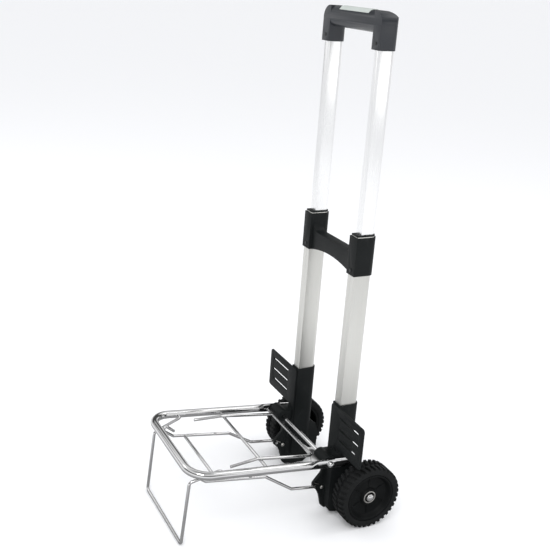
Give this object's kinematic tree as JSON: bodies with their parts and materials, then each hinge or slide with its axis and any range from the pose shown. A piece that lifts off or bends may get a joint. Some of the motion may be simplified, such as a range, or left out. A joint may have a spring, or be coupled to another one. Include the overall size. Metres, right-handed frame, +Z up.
{
  "type": "folding hand truck",
  "caption": "Folding hand truck with a telescopic pull handle, a fold-up chrome wire deck with a prop leg, slotted base brackets and ribbed wheels.",
  "frame": {"origin": "on the floor, under the middle of the part's bounding box", "axes": "+Z up along the tubes, -Y towards the front of the load deck, +X towards the left wheel as seen by someone holding the handle"},
  "size_m": [0.388, 0.4285, 0.965],
  "materials": {
    "lower_aluminium": "satin drawn tube",
    "upper_aluminium": "bright satin drawn tube",
    "black_plastic": "fine moulded grain",
    "handle_plastic": "smooth moulded, slight sheen",
    "grey_pad": "smooth moulded",
    "steel": "zinc plated",
    "black_steel": "black oxide",
    "chrome": "plated",
    "wheel_plastic": "moulded",
    "tyre": "lugged tread"
  },
  "bodies": {
    "base": {"outer_tube_left": "lower_aluminium", "outer_tube_right": "lower_aluminium", "tube_bush_left": "black_plastic", "tube_bush_right": "black_plastic", "bridge": "black_plastic", "bridge_screws": "black_steel", "base_bracket_left": "black_plastic", "base_bracket_right": "black_plastic", "ear_rivets": "steel", "link_keepers": "steel", "axle_left": "steel", "axle_right": "steel", "axle_cap_left": "chrome", "axle_cap_right": "chrome"},
    "handle": {"inner_tube_left": "upper_aluminium", "inner_tube_right": "upper_aluminium", "tube_plug_left": "black_plastic", "tube_plug_right": "black_plastic", "handle_base": "handle_plastic", "handle_cap": "handle_plastic", "handle_screws": "black_steel", "button_spring": "steel"},
    "release": {"release_button": "grey_pad", "release_yoke": "handle_plastic", "release_rod_left": "steel", "release_rod_right": "steel"},
    "pin_left": {"lock_pin_left": "steel"},
    "pin_right": {"lock_pin_right": "steel"},
    "deck": {"deck_tube": "chrome", "deck_wire_left": "chrome", "deck_wire_right": "chrome", "deck_cross_wire": "chrome", "deck_gusset": "chrome", "hinge_rod": "chrome", "hinge_nut_left": "chrome", "hinge_nut_right": "chrome"},
    "link": {"link_wire_left": "chrome", "link_wire_right": "chrome", "link_cross_wire": "chrome"},
    "leg": {"leg_frame": "chrome"},
    "wheel_left": {"wheel_hub_left": "wheel_plastic", "hub_ring_left": "steel", "tyre_left": "tyre"},
    "wheel_right": {"wheel_hub_right": "wheel_plastic", "hub_ring_right": "steel", "tyre_right": "tyre"}
  },
  "joints": [
    {"name": "handle_slide", "type": "slide", "parent": "base", "child": "handle", "axis": [0, 0, -1], "range_m": [0, 0.318]},
    {"name": "button_press", "type": "slide", "parent": "handle", "child": "release", "axis": [0, 0, -1], "range_m": [0, 0.004], "stiffness_N_per_m": 1500, "springref_m": -0.003, "deforming": ["button_spring"]},
    {"name": "pin_slide_left", "type": "slide", "parent": "handle", "child": "pin_left", "axis": [1, 0, 0], "range_m": [0, 0.004]},
    {"name": "pin_slide_right", "type": "slide", "parent": "handle", "child": "pin_right", "axis": [-1, 0, 0], "range_m": [0, 0.004]},
    {"name": "deck_fold", "type": "hinge", "parent": "base", "child": "deck", "pos_m": [0, 0.07925, 0.1286], "axis": [-1, 0, 0], "range_deg": [0, 84.46]},
    {"name": "leg_fold", "type": "hinge", "parent": "deck", "child": "leg", "pos_m": [0, -0.14271, 0.15013], "axis": [-1, 0, 0], "range_deg": [-101.6, 0]},
    {"name": "link_fold", "type": "hinge", "parent": "base", "child": "link", "pos_m": [0, 0.07005, 0.0634], "axis": [-1, 0, 0], "range_deg": [0, 68.3]},
    {"name": "wheel_left_turn", "type": "hinge", "parent": "base", "child": "wheel_left", "pos_m": [0.151, 0.14925, 0.065], "axis": [1, 0, 0], "continuous": true},
    {"name": "wheel_right_turn", "type": "hinge", "parent": "base", "child": "wheel_right", "pos_m": [-0.151, 0.14925, 0.065], "axis": [1, 0, 0], "continuous": true}
  ],
  "couplings": [
    {"joint": "leg_fold", "follows": "deck_fold", "ratio": -1.2018},
    {"joint": "link_fold", "follows": "deck_fold", "ratio": 0.8075},
    {"joint": "pin_slide_left", "follows": "button_press", "ratio": 1},
    {"joint": "pin_slide_right", "follows": "button_press", "ratio": 1}
  ]
}
